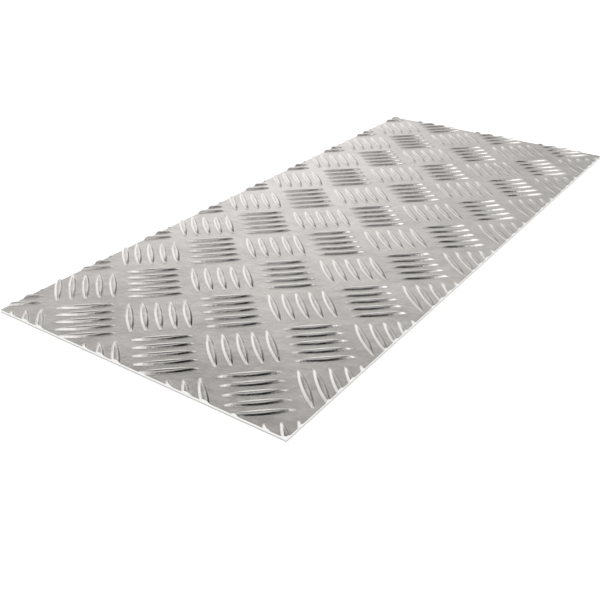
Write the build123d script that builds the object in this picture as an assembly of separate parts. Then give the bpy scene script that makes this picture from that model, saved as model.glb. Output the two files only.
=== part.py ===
"""Aluminium tread plate: one rolled sheet with a five-bar tread raised on its upper face.

Lengths are in millimetres and angles in degrees. X runs across the sheet and Y along it,
Z points up, and the origin is under the middle of the sheet, on the face it lies on.
"""
import math
import os
from build123d import *

# Sheet, sheared to size from rolled stock
sheet_length = 500.0
sheet_width = 200.0
sheet_thickness = 2.0

# One tread bar: a pointed lens seen from above, with sloping flanks and a flat crest
bar_length = 34.2
bar_width = 5.2
bar_height = 1.2
flank_slope = 34.5

# Tread pattern: square groups of parallel bars, every second group turned a quarter turn
bars_per_group = 5
bar_pitch = 8.3
group_pitch = 42.1
pattern_angle = 45.0

# Centre of one group, measured from the sheet's near left corner
group_from_left = 48.5
group_from_near_end = 20.9

# Values that follow from the ones above
blank_margin = bar_length
blank_width = sheet_width + 2 * blank_margin
blank_length = sheet_length + 2 * blank_margin
sheet_middle = sheet_thickness / 2
group_x = group_from_left - sheet_width / 2
group_y = group_from_near_end - sheet_length / 2
lattice_reach = math.ceil(math.hypot(blank_width, blank_length) / group_pitch)


def bar_solid():
    """One bar along X with its foot on the plane Z = 0, centred on the origin."""
    half_length = bar_length / 2
    half_width = bar_width / 2
    with BuildSketch() as outline:
        with BuildLine():
            ThreePointArc((half_length, 0), (0, half_width), (-half_length, 0))
            ThreePointArc((-half_length, 0), (0, -half_width), (half_length, 0))
        make_face()
    return extrude(outline.sketch, amount=bar_height, taper=90 - flank_slope)


def touches_sheet(x, y):
    """True where a bar centred on (x, y) can reach onto the finished sheet."""
    reach = bar_length / 2
    inside_across = abs(x) < sheet_width / 2 + reach
    inside_along = abs(y) < sheet_length / 2 + reach
    return inside_across and inside_along


def bar_places():
    """Places of all the bars that can reach onto the finished sheet."""
    turn = math.radians(pattern_angle)
    places = []
    for column in range(-lattice_reach, lattice_reach + 1):
        for row in range(-lattice_reach, lattice_reach + 1):
            middle_x = group_x + group_pitch * (column * math.cos(turn) - row * math.sin(turn))
            middle_y = group_y + group_pitch * (column * math.sin(turn) + row * math.cos(turn))
            bar_angle = pattern_angle + 90 * ((column + row) % 2)
            across = math.radians(bar_angle + 90)
            for number in range(bars_per_group):
                step = bar_pitch * (number - (bars_per_group - 1) / 2)
                x = middle_x + step * math.cos(across)
                y = middle_y + step * math.sin(across)
                if touches_sheet(x, y):
                    places.append(Pos(x, y, sheet_thickness) * Rot(0, 0, bar_angle))
    return places


# The tread is rolled into a blank that is larger than the sheet
bar = bar_solid()
bars = [place * bar for place in bar_places()]
blank = Pos(0, 0, sheet_middle) * Box(blank_width, blank_length, sheet_thickness)
rolled = blank.fuse(*bars)

# Shearing the blank to size cuts straight through the bars that cross the outline
overall_height = sheet_thickness + bar_height
outline = Pos(0, 0, overall_height / 2) * Box(sheet_width, sheet_length, 2 * overall_height)
tread_plate = rolled & outline

os.makedirs("parts", exist_ok=True)
export_step(tread_plate, "parts/tread_plate.step")
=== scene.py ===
"""Aluminium tread plate: a flat sheet with a five-bar tread rolled into its upper face.

The plate gets its rolled relief, its mill finish and its sheared edges, and lies on a pale
studio floor. All lengths are in metres, in the part's own frame: X across the sheet, Y along
it, Z up.
"""

import math

import bmesh
import bpy
from bpy.props import FloatProperty, FloatVectorProperty, IntProperty, PointerProperty
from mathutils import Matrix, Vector
from mathutils.geometry import delaunay_2d_cdt


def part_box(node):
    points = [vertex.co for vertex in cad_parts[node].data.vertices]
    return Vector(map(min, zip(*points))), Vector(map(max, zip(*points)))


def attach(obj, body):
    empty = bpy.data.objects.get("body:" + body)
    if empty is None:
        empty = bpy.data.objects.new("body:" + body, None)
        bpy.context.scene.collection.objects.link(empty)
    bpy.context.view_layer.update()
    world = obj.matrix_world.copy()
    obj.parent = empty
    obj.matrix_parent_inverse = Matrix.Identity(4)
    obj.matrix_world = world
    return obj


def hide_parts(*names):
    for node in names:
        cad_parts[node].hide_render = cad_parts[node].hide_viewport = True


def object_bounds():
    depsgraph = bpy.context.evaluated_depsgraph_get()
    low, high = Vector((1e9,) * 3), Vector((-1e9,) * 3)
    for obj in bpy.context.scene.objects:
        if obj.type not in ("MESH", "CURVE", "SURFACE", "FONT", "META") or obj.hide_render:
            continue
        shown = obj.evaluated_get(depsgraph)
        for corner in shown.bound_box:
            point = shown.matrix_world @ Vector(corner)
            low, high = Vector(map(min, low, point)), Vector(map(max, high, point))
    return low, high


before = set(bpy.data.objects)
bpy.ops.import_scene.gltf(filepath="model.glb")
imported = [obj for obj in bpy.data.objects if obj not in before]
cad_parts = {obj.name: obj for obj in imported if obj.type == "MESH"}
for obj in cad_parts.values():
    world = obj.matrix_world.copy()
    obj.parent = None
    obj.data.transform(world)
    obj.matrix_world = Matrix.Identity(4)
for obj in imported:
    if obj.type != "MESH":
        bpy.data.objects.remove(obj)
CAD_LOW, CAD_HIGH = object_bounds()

bl_info = {
    "name": "Aluminium Tread Plate",
    "version": (1, 0, 0),
    "blender": (4, 5, 0),
    "location": "View3D > Sidebar > Tread Plate",
    "description": "Rolls a five-bar aluminium tread plate and sets it in a studio",
    "category": "Object",
}

NODE = "tread_plate"
MILLIMETRE = 0.001

# Side of the square image in pixels, and width of the camera's sensor in millimetres
IMAGE_SIDE = 600
SENSOR_WIDTH = 36.0

# Decimal places, in metres, at which two points of a bar count as one
SAME_DIGITS = 7


# Sizes and colours that a user would change


class TreadSizes(bpy.types.PropertyGroup):
    """Sizes of the sheet and of the tread rolled into it"""

    sheet_thickness: FloatProperty(
        name="Sheet Thickness",
        description="Thickness of the plain sheet between the bars",
        default=2.0 * MILLIMETRE,
        unit="LENGTH",
    )
    bar_length: FloatProperty(
        name="Bar Length",
        description="Length of a bar at its foot, from point to point",
        default=34.2 * MILLIMETRE,
        unit="LENGTH",
    )
    bar_width: FloatProperty(
        name="Bar Width",
        description="Width of a bar at its foot, at mid length",
        default=5.2 * MILLIMETRE,
        unit="LENGTH",
    )
    crest_length: FloatProperty(
        name="Crest Length",
        description="Length of a bar's crest, from point to point",
        default=27.5 * MILLIMETRE,
        unit="LENGTH",
    )
    crest_width: FloatProperty(
        name="Crest Width",
        description="Width of a bar's crest, at mid length",
        default=2.35 * MILLIMETRE,
        unit="LENGTH",
    )
    bar_pitch: FloatProperty(
        name="Bar Pitch",
        description="Distance between neighbouring bars of a group",
        default=8.3 * MILLIMETRE,
        unit="LENGTH",
    )
    group_pitch: FloatProperty(
        name="Group Pitch",
        description="Distance between the centres of neighbouring groups",
        default=42.1 * MILLIMETRE,
        unit="LENGTH",
    )
    bars_per_group: IntProperty(
        name="Bars per Group",
        description="Parallel bars in one square group",
        default=5,
        min=1,
    )
    pattern_angle: FloatProperty(
        name="Pattern Angle",
        description="Turn of the groups against the sheet's edges",
        default=math.radians(45.0),
        subtype="ANGLE",
    )
    group_from_left: FloatProperty(
        name="Group from Left Edge",
        description="Distance of one group's centre from the sheet's left edge",
        default=48.5 * MILLIMETRE,
        unit="LENGTH",
    )
    group_from_near_end: FloatProperty(
        name="Group from Near End",
        description="Distance of the same group's centre from the sheet's near end",
        default=20.9 * MILLIMETRE,
        unit="LENGTH",
    )
    foot_fillet: FloatProperty(
        name="Foot Fillet",
        description="Breadth of the hollow curve where a flank rises from the sheet",
        default=0.08 * MILLIMETRE,
        unit="LENGTH",
    )
    shoulder_round: FloatProperty(
        name="Shoulder Round",
        description="Breadth of the rounding between a flank and the crest",
        default=0.3 * MILLIMETRE,
        unit="LENGTH",
    )
    tip_round: FloatProperty(
        name="Tip Round",
        description="Radius of a bar's points at its foot",
        default=0.9 * MILLIMETRE,
        unit="LENGTH",
    )
    crest_camber: FloatProperty(
        name="Crest Camber",
        description="Slope of the crest where it meets the shoulder",
        default=0.26,
    )
    end_fall: FloatProperty(
        name="End Fall",
        description="How far the crest has sunk at its ends",
        default=0.25 * MILLIMETRE,
        unit="LENGTH",
    )
    end_fall_length: FloatProperty(
        name="End Fall Length",
        description="Length of crest over which each end sinks",
        default=3.4 * MILLIMETRE,
        unit="LENGTH",
    )


class MillFinish(bpy.types.PropertyGroup):
    """Colours and gloss of the rolled faces and the sheared edges"""

    metal: FloatVectorProperty(
        name="Rolled Face",
        description="Colour of the bright metal",
        default=(0.855, 0.82, 0.785),
        subtype="COLOR",
        min=0.0,
        max=1.0,
    )
    metal_dull: FloatVectorProperty(
        name="Dull Patches",
        description="Colour of the cloudy patches in the rolled face",
        default=(0.72, 0.69, 0.66),
        subtype="COLOR",
        min=0.0,
        max=1.0,
    )
    bar: FloatVectorProperty(
        name="Bars",
        description="Colour of the bars, which the roll polishes",
        default=(0.85, 0.82, 0.795),
        subtype="COLOR",
        min=0.0,
        max=1.0,
    )
    edge: FloatVectorProperty(
        name="Sheared Edge",
        description="Colour of the freshly cut edge",
        default=(0.86, 0.855, 0.845),
        subtype="COLOR",
        min=0.0,
        max=1.0,
    )
    # Colour of the torn band: darker partly as torn metal and partly as painted shade at the foot
    # of the edge by the floor
    edge_break_and_painted_shade: FloatVectorProperty(
        name="Edge Break",
        description="Colour of the torn band at the foot of the cut edge",
        default=(0.62, 0.62, 0.61),
        subtype="COLOR",
        min=0.0,
        max=1.0,
    )
    roughness: FloatProperty(
        name="Face Roughness",
        description="Roughness of the rolled faces",
        default=0.24,
        subtype="FACTOR",
        min=0.0,
        max=1.0,
    )
    bar_roughness: FloatProperty(
        name="Bar Roughness",
        description="Roughness of the bars, which the roll polishes",
        default=0.12,
        subtype="FACTOR",
        min=0.0,
        max=1.0,
    )


class Studio(bpy.types.PropertyGroup):
    """Camera, light and floor"""

    camera_place: FloatVectorProperty(
        name="Camera Place",
        description="Where the camera stands",
        default=(0.25926, -0.50487, 0.23633),
        subtype="TRANSLATION",
        unit="LENGTH",
    )
    camera_azimuth: FloatProperty(
        name="Camera Azimuth",
        description="Turn of the camera from looking along the plate",
        default=math.radians(37.136),
        subtype="ANGLE",
    )
    camera_elevation: FloatProperty(
        name="Camera Elevation",
        description="How far the camera looks down",
        default=math.radians(28.48),
        subtype="ANGLE",
    )
    focal_pixels: FloatProperty(
        name="Focal Length in Pixels",
        description="Focal length counted in pixels of the square image",
        default=823.15,
    )
    axis_pixel: FloatProperty(
        name="Axis Pixel",
        description="Column of the square image that the optical axis goes through",
        default=227.4,
    )
    floor: FloatVectorProperty(
        name="Floor",
        description="Colour of the pale floor",
        default=(0.93, 0.93, 0.93),
        subtype="COLOR",
        min=0.0,
        max=1.0,
    )
    floor_glow: FloatProperty(
        name="Floor Glow",
        description="Light that comes up through the floor, as from a light table",
        default=0.6,
        min=0.0,
    )
    backdrop: FloatProperty(
        name="Backdrop",
        description="Brightness of the plain backdrop that shows beyond the floor",
        default=1.0,
        min=0.0,
    )
    room: FloatProperty(
        name="Room Light",
        description="Even light from all sides",
        default=0.40,
        min=0.0,
    )
    brightness: FloatProperty(
        name="Brightness",
        description="Factor on all the light around the plate",
        default=1.42,
        min=0.0,
    )


# Shader building


class Wire:
    """One shader socket. Arithmetic on it adds Math nodes to its shader."""

    def __init__(self, shader, socket):
        self.shader = shader
        self.socket = socket

    def math(self, operation, first, second):
        """Result of a Math node on two values, of which one or both are wires."""
        sockets = {0: first, 1: second}
        return self.shader.node("ShaderNodeMath", {"operation": operation}, sockets)["Value"]

    def at_least(self, least):
        """This value, or the least one where it would fall below that."""
        return self.math("MAXIMUM", self, least)

    def __add__(self, other):
        return self.math("ADD", self, other)

    __radd__ = __add__

    def __sub__(self, other):
        return self.math("SUBTRACT", self, other)

    def __rsub__(self, other):
        return self.math("SUBTRACT", other, self)

    def __mul__(self, other):
        return self.math("MULTIPLY", self, other)

    __rmul__ = __mul__

    def __pow__(self, other):
        return self.math("POWER", self, other)

    def __rpow__(self, other):
        return self.math("POWER", other, self)


class Shader:
    """Node tree of one material or world, emptied and built up again."""

    # Numbers of a Mix node's sockets for colours, whose names its other sockets have too
    mix_factor, mix_first, mix_second = 0, 6, 7

    def __init__(self, owner):
        owner.use_nodes = True
        self.tree = owner.node_tree
        self.tree.nodes.clear()

    def node(self, kind, settings=None, sockets=None):
        """Adds a node, sets it up and feeds its sockets. Returns its outputs as wires, by name."""
        made = self.tree.nodes.new(kind)
        for name, value in (settings or {}).items():
            setattr(made, name, value)
        for name, value in (sockets or {}).items():
            if isinstance(value, Wire):
                self.tree.links.new(value.socket, made.inputs[name])
            else:
                made.inputs[name].default_value = value
        return {out.name: Wire(self, out) for out in made.outputs if out.enabled}

    def place(self):
        """Place on the object, in metres."""
        return self.node("ShaderNodeTexCoord")["Object"]

    def part(self, vector, axis):
        """One part of a vector."""
        return self.node("ShaderNodeSeparateXYZ", None, {"Vector": vector})[axis]

    def stretch(self, vector, scale):
        """A place scaled by its own factor along each axis."""
        return self.node("ShaderNodeMapping", None, {"Vector": vector, "Scale": scale})["Vector"]

    def noise(self, vector, scale, detail=2.0):
        """Soft noise from 0 to 1."""
        sockets = {"Vector": vector, "Scale": scale, "Detail": detail}
        return self.node("ShaderNodeTexNoise", {"noise_dimensions": "3D"}, sockets)["Fac"]

    def rise(self, value, low, high):
        """0 below low, 1 above high, and smooth between them."""
        settings = {"interpolation_type": "SMOOTHSTEP", "clamp": True}
        sockets = {"Value": value, "From Min": low, "From Max": high}
        return self.node("ShaderNodeMapRange", settings, sockets)["Result"]

    def blend(self, factor, first, second):
        """Mixes two colours."""
        sockets = {self.mix_factor: factor, self.mix_first: first, self.mix_second: second}
        return self.node("ShaderNodeMix", {"data_type": "RGBA"}, sockets)["Result"]

    def bump(self, height, distance, strength):
        """Surface normal roughened by a height."""
        sockets = {"Height": height, "Distance": distance, "Strength": strength}
        return self.node("ShaderNodeBump", None, sockets)["Normal"]

    def metal(self, colour, roughness, normal):
        """Bare metal as the whole surface."""
        sockets = {"Base Color": colour, "Metallic": 1.0, "Roughness": roughness, "Normal": normal}
        skin = self.node("ShaderNodeBsdfPrincipled", None, sockets)["BSDF"]
        self.node("ShaderNodeOutputMaterial", None, {"Surface": skin})


def opaque(colour):
    """A colour with full alpha, as colour sockets take it."""
    return (colour[0], colour[1], colour[2], 1.0)


def rolled_face_material(finish, thickness):
    """Mill finish of the rolled faces: cloudy, with fine grain along the rolling direction."""
    material = bpy.data.materials.new("mill_finish")
    shader = Shader(material)
    place = shader.place()
    drawn_along_roll = shader.stretch(place, (1.0, 0.03, 1.0))
    clouds = shader.noise(place, scale=28.0, detail=3.0)
    mottle = shader.noise(place, scale=130.0)
    dents = shader.noise(place, scale=420.0)
    grain = shader.noise(drawn_along_roll, scale=1400.0)
    pores = shader.noise(place, scale=1500.0, detail=1.0)
    polish_begins = thickness + 0.05 * MILLIMETRE
    polish_full = thickness + 0.4 * MILLIMETRE
    on_bar = shader.rise(shader.part(place, "Z"), polish_begins, polish_full)
    patch = shader.rise(clouds * 0.5 + mottle * 0.3 + pores * 0.2, low=0.38, high=0.62)
    sheet_colour = shader.blend(patch, opaque(finish.metal_dull), opaque(finish.metal))
    colour = shader.blend(on_bar, sheet_colour, opaque(finish.bar))
    unevenness = (clouds - 0.5) * 0.08 + (grain - 0.5) * 0.08 + (mottle - 0.5) * 0.06
    roughness = finish.roughness + unevenness + on_bar * (finish.bar_roughness - finish.roughness)
    relief = clouds * 0.4 + mottle * 0.13 + dents * 0.04 + (grain + pores) * 0.03
    normal = shader.bump(relief, distance=1.0 * MILLIMETRE, strength=1.0)
    shader.metal(colour, roughness, normal)
    return material


def sheared_edge_material(finish, thickness):
    """Cut edge: a bright burnished band above a rougher torn one, darker partly as torn metal and
    partly as painted shade where the edge meets the floor.
    """
    material = bpy.data.materials.new("sheared_edge")
    shader = Shader(material)
    place = shader.place()
    drawn_down = shader.stretch(place, (1.0, 1.0, 0.12))
    tears = shader.noise(drawn_down, scale=900.0, detail=3.0)
    raggedness = 0.5 * MILLIMETRE
    height = shader.part(place, "Z") + (tears - 0.5) * raggedness
    # The lower band is darker: partly the torn metal, partly painted shade where the edge meets the
    # floor
    burnish_over_painted_shade = shader.rise(height, low=0.3 * thickness, high=0.6 * thickness)
    colour = shader.blend(burnish_over_painted_shade, opaque(finish.edge_break_and_painted_shade), opaque(finish.edge))
    torn_roughness, burnished_roughness = 0.62, 0.46
    gloss = burnish_over_painted_shade * (burnished_roughness - torn_roughness)
    roughness = torn_roughness + gloss + (tears - 0.5) * 0.2
    normal = shader.bump(tears, distance=0.08 * MILLIMETRE, strength=0.5)
    shader.metal(colour, roughness, normal)
    return material


# Relief of the tread


class Lens:
    """Outline of two equal arcs, with a round of a given radius on both of its points."""

    arc_steps = 12
    tip_steps = 3

    def __init__(self, length, width, tip_round):
        self.tip_round = tip_round
        self.tip_x = length / 2 - tip_round
        core_half_width = width / 2 - tip_round
        core_radius = (self.tip_x**2 + core_half_width**2) / (2 * core_half_width)
        self.radius = core_radius + tip_round
        self.offset = core_radius - core_half_width
        self.spread = math.asin(self.tip_x / core_radius)

    def points(self):
        """Points of the outline, anticlockwise from its right end. A sharp point is repeated."""
        points = []
        first = math.pi / 2 + self.spread
        last = 3 * math.pi / 2 - self.spread
        for side in (1, -1):
            for step in range(self.arc_steps + 1):
                angle = self.spread * math.cos(math.pi * step / self.arc_steps)
                x = self.radius * math.sin(angle)
                y = self.radius * math.cos(angle) - self.offset
                points.append((side * x, side * y))
            for step in range(1, self.tip_steps):
                angle = first + (last - first) * step / self.tip_steps
                x = self.tip_round * math.cos(angle) - self.tip_x
                y = self.tip_round * math.sin(angle)
                points.append((side * x, side * y))
        return points


class BarForm:
    """Surface of one bar: flanks that climb from a blunt foot to a shorter, pointed crest."""

    # Breadth of the flat sheet that goes with each bar, around its foot
    flat_rim = 0.3 * MILLIMETRE
    # Share of a flank between each of its rounded ends and the ring that keeps it straight
    hold = 0.09
    # Shares of the way from the crest's outline to its middle line at which rings run
    crest_rings = (0.12, 0.88)

    def __init__(self, sizes, height):
        self.height = height
        self.half_crest = sizes.crest_width / 2
        rim_length = sizes.bar_length + 2 * self.flat_rim
        rim_width = sizes.bar_width + 2 * self.flat_rim
        self.rim = Lens(rim_length, rim_width, sizes.tip_round + self.flat_rim)
        self.foot = Lens(sizes.bar_length, sizes.bar_width, sizes.tip_round)
        self.crest = Lens(sizes.crest_length, sizes.crest_width, 0.0)
        flank_width = (sizes.bar_width - sizes.crest_width) / 2
        self.hollow = sizes.foot_fillet / flank_width
        self.shoulder = 1 - sizes.shoulder_round / flank_width
        self.camber_drop = sizes.crest_camber * self.half_crest / 2
        self.end_fall = sizes.end_fall
        self.fall_length = sizes.end_fall_length
        self.fall_start = sizes.crest_length / 2 - self.fall_length
        self.crest_slope = sizes.crest_camber * flank_width / height

    def crest_height(self, x, y):
        """Height of the crest above the sheet: cambered across, and sinking towards both ends."""
        past = max((abs(x) - self.fall_start) / self.fall_length, 0.0)
        return self.height - self.camber_drop * (y / self.half_crest) ** 2 - self.end_fall * past**2

    def climb(self, share):
        """Height gained at a share of the way from foot to crest, on a flank of slope one."""
        if share <= self.hollow:
            return share**2 / (2 * self.hollow)
        straight = min(share, self.shoulder) - self.hollow / 2
        width = 1 - self.shoulder
        past = max(share - self.shoulder, 0.0) / width
        return straight + width * (past - (1 - self.crest_slope) * past**2 / 2)

    def rings(self):
        """Rings of points from the flat sheet around the bar up to the middle of its crest."""
        foot, crest = self.foot.points(), self.crest.points()
        rings = [[(x, y, 0.0) for x, y in self.rim.points()]]
        low_hold, high_hold = self.hollow + self.hold, self.shoulder - self.hold
        for share in (0.0, self.hollow, low_hold, high_hold, self.shoulder, 1.0):
            climbed = self.climb(share) / self.climb(1.0)
            ring = []
            for (foot_x, foot_y), (crest_x, crest_y) in zip(foot, crest):
                x = foot_x + share * (crest_x - foot_x)
                y = foot_y + share * (crest_y - foot_y)
                ring.append((x, y, climbed * self.crest_height(crest_x, crest_y)))
            rings.append(ring)
        for inward in self.crest_rings:
            narrow = [(x, (1 - inward) * y) for x, y in crest]
            rings.append([(x, y, self.crest_height(x, y)) for x, y in narrow])
        return rings


def bar_places(sizes, low, high):
    """Centre and direction of each bar that reaches onto the sheet."""
    pitch = sizes.group_pitch
    reach = sizes.bar_length / 2 + BarForm.flat_rim
    first_x = low.x + sizes.group_from_left
    first_y = low.y + sizes.group_from_near_end
    count = math.ceil((high - low).length / pitch) + 2
    cos, sin = math.cos(sizes.pattern_angle), math.sin(sizes.pattern_angle)
    places = []
    for column in range(-count, count + 1):
        for row in range(-count, count + 1):
            x = first_x + pitch * (column * cos - row * sin)
            y = first_y + pitch * (column * sin + row * cos)
            angle = sizes.pattern_angle + math.pi / 2 * ((column + row) % 2)
            for number in range(sizes.bars_per_group):
                step = sizes.bar_pitch * (number - (sizes.bars_per_group - 1) / 2)
                bar_x = x - step * math.sin(angle)
                bar_y = y + step * math.cos(angle)
                inside = low.x - reach < bar_x < high.x + reach
                if inside and low.y - reach < bar_y < high.y + reach:
                    places.append((bar_x, bar_y, angle))
    return places


def add_face(mesh, corners):
    """Adds a smooth face, leaving out repeated corners, unless too few are left."""
    corners = [vert for i, vert in enumerate(corners) if vert is not corners[i - 1]]
    if len(corners) > 2:
        mesh.faces.new(corners).smooth = True


def add_bar(mesh, form, place, base):
    """Adds one bar's surface and returns the vertices of its outermost ring."""
    bar_x, bar_y, angle = place
    cos, sin = math.cos(angle), math.sin(angle)
    made = {}
    rings = []
    for points in form.rings():
        ring = []
        for x, y, rise in points:
            key = (round(x, SAME_DIGITS), round(y, SAME_DIGITS))
            if key not in made:
                turned_x = bar_x + x * cos - y * sin
                turned_y = bar_y + x * sin + y * cos
                made[key] = mesh.verts.new((turned_x, turned_y, base + rise))
            ring.append(made[key])
        rings.append(ring)
    for outer, inner in zip(rings, rings[1:]):
        for i in range(len(outer)):
            add_face(mesh, [outer[i - 1], outer[i], inner[i], inner[i - 1]])
    crest = rings[-1]
    half = len(crest) // 2
    upper = crest[: Lens.arc_steps + 1]
    lower = crest[half : half + Lens.arc_steps + 1][::-1]
    for i in range(Lens.arc_steps):
        add_face(mesh, [upper[i], upper[i + 1], lower[i + 1], lower[i]])
    return list(dict.fromkeys(rings[0]))


def add_sheet_between(mesh, outlines, low, high, margin, base):
    """Fills the flat sheet between the bars, out to a margin beyond the finished size."""
    corners = [
        (low.x - margin, low.y - margin),
        (high.x + margin, low.y - margin),
        (high.x + margin, high.y + margin),
        (low.x - margin, high.y + margin),
    ]
    no_bar = -1
    verts = [mesh.verts.new((x, y, base)) for x, y in corners]
    owner = [no_bar] * len(corners)
    edges = [(i, (i + 1) % len(corners)) for i in range(len(corners))]
    for number, outline in enumerate(outlines):
        start = len(verts)
        verts.extend(outline)
        owner.extend([number] * len(outline))
        edges.extend((start + i, start + (i + 1) % len(outline)) for i in range(len(outline)))
    flat = [Vector((v.co.x, v.co.y)) for v in verts]
    fill_hull = 0
    merge_distance = 1e-9
    result = delaunay_2d_cdt(flat, edges, [], fill_hull, merge_distance, True)
    triangles, sources = result[2], result[3]
    if any(len(ids) != 1 for ids in sources):
        raise RuntimeError("outlines of bars touch, so the sheet between them can't be filled")
    for triangle in triangles:
        a, b, c = (sources[i][0] for i in triangle)
        if owner[a] == owner[b] == owner[c] != no_bar:
            continue
        mesh.faces.new((verts[a], verts[b], verts[c])).smooth = True


def shear_to_size(mesh, low, high):
    """Cuts the rolled sheet to its finished outline, straight through the bars that cross it."""
    on_cut = 1e-8
    cuts = [
        ((low.x, 0, 0), (-1, 0, 0)),
        ((high.x, 0, 0), (1, 0, 0)),
        ((0, low.y, 0), (0, -1, 0)),
        ((0, high.y, 0), (0, 1, 0)),
    ]
    for place, outward in cuts:
        everything = mesh.verts[:] + mesh.edges[:] + mesh.faces[:]
        bmesh.ops.bisect_plane(
            mesh, geom=everything, dist=on_cut, plane_co=place, plane_no=outward, clear_outer=True
        )


def close_edges(mesh, low, high, edge_slot):
    """Adds the four cut edges and the plain underside."""
    near = 1e-7
    corner = {
        (right, far): mesh.verts.new((high.x if right else low.x, high.y if far else low.y, low.z))
        for right in (0, 1)
        for far in (0, 1)
    }
    rim = {v for e in mesh.edges if e.is_boundary for v in e.verts}
    walls = [
        (lambda v: abs(v.co.y - low.y) < near, lambda v: v.co.x, (0, 0), (1, 0)),
        (lambda v: abs(v.co.x - high.x) < near, lambda v: v.co.y, (1, 0), (1, 1)),
        (lambda v: abs(v.co.y - high.y) < near, lambda v: -v.co.x, (1, 1), (0, 1)),
        (lambda v: abs(v.co.x - low.x) < near, lambda v: -v.co.y, (0, 1), (0, 0)),
    ]
    for on_wall, order, start, end in walls:
        top = sorted((v for v in rim if on_wall(v)), key=order)
        wall = mesh.faces.new([corner[start], corner[end]] + top[::-1])
        wall.material_index = edge_slot
        for edge in wall.edges:
            edge.smooth = False
    mesh.faces.new([corner[0, 0], corner[0, 1], corner[1, 1], corner[1, 0]])


class TREADPLATE_OT_roll(bpy.types.Operator):
    """Roll the tread into the sheet, shear the sheet to size and give it its mill finish"""

    bl_idname = "object.tread_plate_roll"
    bl_label = "Roll Tread Plate"
    bl_options = {"REGISTER", "UNDO"}

    def execute(self, context):
        sizes = context.scene.tread_sizes
        finish = context.scene.mill_finish
        low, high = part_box(NODE)
        base = low.z + sizes.sheet_thickness
        form = BarForm(sizes, high.z - base)
        mesh = bmesh.new()
        outlines = [add_bar(mesh, form, place, base) for place in bar_places(sizes, low, high)]
        add_sheet_between(mesh, outlines, low, high, sizes.bar_length, base)
        shear_to_size(mesh, low, high)
        close_edges(mesh, low, high, edge_slot=1)
        data = bpy.data.meshes.new("rolled_plate")
        mesh.to_mesh(data)
        mesh.free()
        data.materials.append(rolled_face_material(finish, sizes.sheet_thickness))
        data.materials.append(sheared_edge_material(finish, sizes.sheet_thickness))
        plate = bpy.data.objects.new("rolled_plate", data)
        context.scene.collection.objects.link(plate)
        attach(plate, "root")
        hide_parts(NODE)
        return {"FINISHED"}


# Studio


class SoftLight:
    """A soft patch of light around the plate, or a dark one where its strength is below zero.

    Azimuth, counted from X towards Y, elevation and half width are in degrees.
    """

    def __init__(self, azimuth, elevation, half_width, strength):
        turn, lift = math.radians(azimuth), math.radians(elevation)
        flat = math.cos(lift)
        self.towards = (flat * math.cos(turn), flat * math.sin(turn), math.sin(lift))
        self.sharpness = math.log(0.5) / math.log(math.cos(math.radians(half_width)))
        self.strength = strength

    def shine(self, shader, direction):
        """Brightness that this light adds in a direction."""
        sockets = {0: direction, 1: self.towards}
        facing = shader.node("ShaderNodeVectorMath", {"operation": "DOT_PRODUCT"}, sockets)["Value"]
        return facing.at_least(0.0) ** self.sharpness * self.strength


SOFT_LIGHTS = {
    "white sweep behind the plate": SoftLight(156, 5, 23, 0.36),
    "glow of the sweep": SoftLight(122, 16, 9, 0.31),
    "left window": SoftLight(186, 62, 14, 0.46),
    "overhead softbox": SoftLight(280, 67, 8, 0.50),
    "back right softbox": SoftLight(27, 55, 6, 0.90),
    "right window": SoftLight(98, 42, 11, 0.48),
    "dark gap in the right window": SoftLight(108, 38, 7, -0.56),
    "dark gap above the sweep": SoftLight(135, 44, 9, -0.40),
    "dark slit beside the sweep": SoftLight(147, 29, 5, -0.26),
    "dark far right corner": SoftLight(91, 2, 12, -0.52),
    "dark foot of the sweep": SoftLight(113, -5, 8, -0.42),
    "dark ceiling in front": SoftLight(319, 62, 8, -0.36),
    "dark ceiling on the right": SoftLight(346, 60, 8, -0.36),
    "dark ceiling at the back": SoftLight(12, 65, 7, -0.26),
    "dark ceiling beside the right window": SoftLight(60, 66, 9, -0.38),
}


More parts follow.
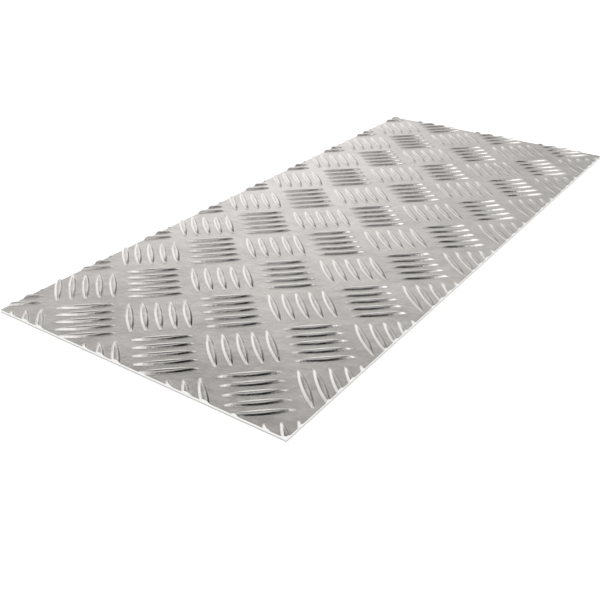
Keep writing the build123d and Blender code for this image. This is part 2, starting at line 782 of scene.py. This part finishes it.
class TREADPLATE_OT_stage(bpy.types.Operator):
    """Set up the pale floor, the soft light and the camera"""

    bl_idname = "scene.tread_plate_stage"
    bl_label = "Set Up Studio"
    bl_options = {"REGISTER", "UNDO"}

    def execute(self, context):
        studio = context.scene.studio
        self.lay_floor(context, studio)
        self.light(context, studio)
        self.place_camera(context, studio)
        context.scene.view_settings.view_transform = "Standard"
        return {"FINISHED"}

    def lay_floor(self, context, studio):
        """Pale matt floor that glows a little, just clear of the underside."""
        reach = 6.0
        gap = 0.2 * MILLIMETRE
        outline = [(-reach, -reach), (reach, -reach), (reach, reach), (-reach, reach)]
        corners = [(x, y, CAD_LOW.z - gap) for x, y in outline]
        data = bpy.data.meshes.new("studio_floor")
        data.from_pydata(corners, [], [(0, 1, 2, 3)])
        material = bpy.data.materials.new("pale_floor")
        shader = Shader(material)
        sockets = {
            "Base Color": opaque(studio.floor),
            "Roughness": 0.9,
            "Emission Color": opaque(studio.floor),
            "Emission Strength": studio.floor_glow,
        }
        paint = shader.node("ShaderNodeBsdfPrincipled", None, sockets)["BSDF"]
        shader.node("ShaderNodeOutputMaterial", None, {"Surface": paint})
        data.materials.append(material)
        floor = bpy.data.objects.new("studio_floor", data)
        context.scene.collection.objects.link(floor)

    def light(self, context, studio):
        """Soft light from all around. The camera itself sees only a plain backdrop."""
        world = bpy.data.worlds.new("soft_studio")
        context.scene.world = world
        shader = Shader(world)
        direction = shader.node("ShaderNodeTexCoord")["Generated"]
        patches = (patch.shine(shader, direction) for patch in SOFT_LIGHTS.values())
        light = sum(patches, studio.room).at_least(0.0) * studio.brightness
        seen = shader.node("ShaderNodeLightPath")["Is Camera Ray"]
        strength = light + seen * (studio.backdrop - light)
        sockets = {"Color": (1.0, 1.0, 1.0, 1.0), "Strength": strength}
        sky = shader.node("ShaderNodeBackground", None, sockets)["Background"]
        shader.node("ShaderNodeOutputWorld", None, {"Surface": sky})

    def place_camera(self, context, studio):
        """Camera that sees the plate as the photograph does."""
        data = bpy.data.cameras.new("photo_camera")
        data.sensor_width = SENSOR_WIDTH
        data.lens = studio.focal_pixels / IMAGE_SIDE * SENSOR_WIDTH
        data.shift_x = 0.5 - studio.axis_pixel / IMAGE_SIDE
        data.clip_start = 0.01
        camera = bpy.data.objects.new("photo_camera", data)
        camera.location = studio.camera_place
        camera.rotation_euler = (math.pi / 2 - studio.camera_elevation, 0.0, studio.camera_azimuth)
        context.scene.collection.objects.link(camera)
        context.scene.camera = camera


class TREADPLATE_PT_sidebar(bpy.types.Panel):
    """Sizes, finish and studio of the tread plate"""

    bl_idname = "TREADPLATE_PT_sidebar"
    bl_label = "Tread Plate"
    bl_space_type = "VIEW_3D"
    bl_region_type = "UI"
    bl_category = "Tread Plate"

    def draw(self, context):
        scene = context.scene
        for title, group, operator in (
            ("Tread", scene.tread_sizes, TREADPLATE_OT_roll.bl_idname),
            ("Finish", scene.mill_finish, None),
            ("Studio", scene.studio, TREADPLATE_OT_stage.bl_idname),
        ):
            box = self.layout.box()
            box.label(text=title)
            for name in group.__annotations__:
                box.prop(group, name)
            if operator:
                box.operator(operator)


CLASSES = (
    TreadSizes,
    MillFinish,
    Studio,
    TREADPLATE_OT_roll,
    TREADPLATE_OT_stage,
    TREADPLATE_PT_sidebar,
)


def register():
    for cls in CLASSES:
        bpy.utils.register_class(cls)
    bpy.types.Scene.tread_sizes = PointerProperty(type=TreadSizes)
    bpy.types.Scene.mill_finish = PointerProperty(type=MillFinish)
    bpy.types.Scene.studio = PointerProperty(type=Studio)


def unregister():
    del bpy.types.Scene.studio
    del bpy.types.Scene.mill_finish
    del bpy.types.Scene.tread_sizes
    for cls in reversed(CLASSES):
        bpy.utils.unregister_class(cls)


def main():
    register()
    bpy.ops.object.tread_plate_roll()
    bpy.ops.scene.tread_plate_stage()


if __name__ == "__main__":
    main()
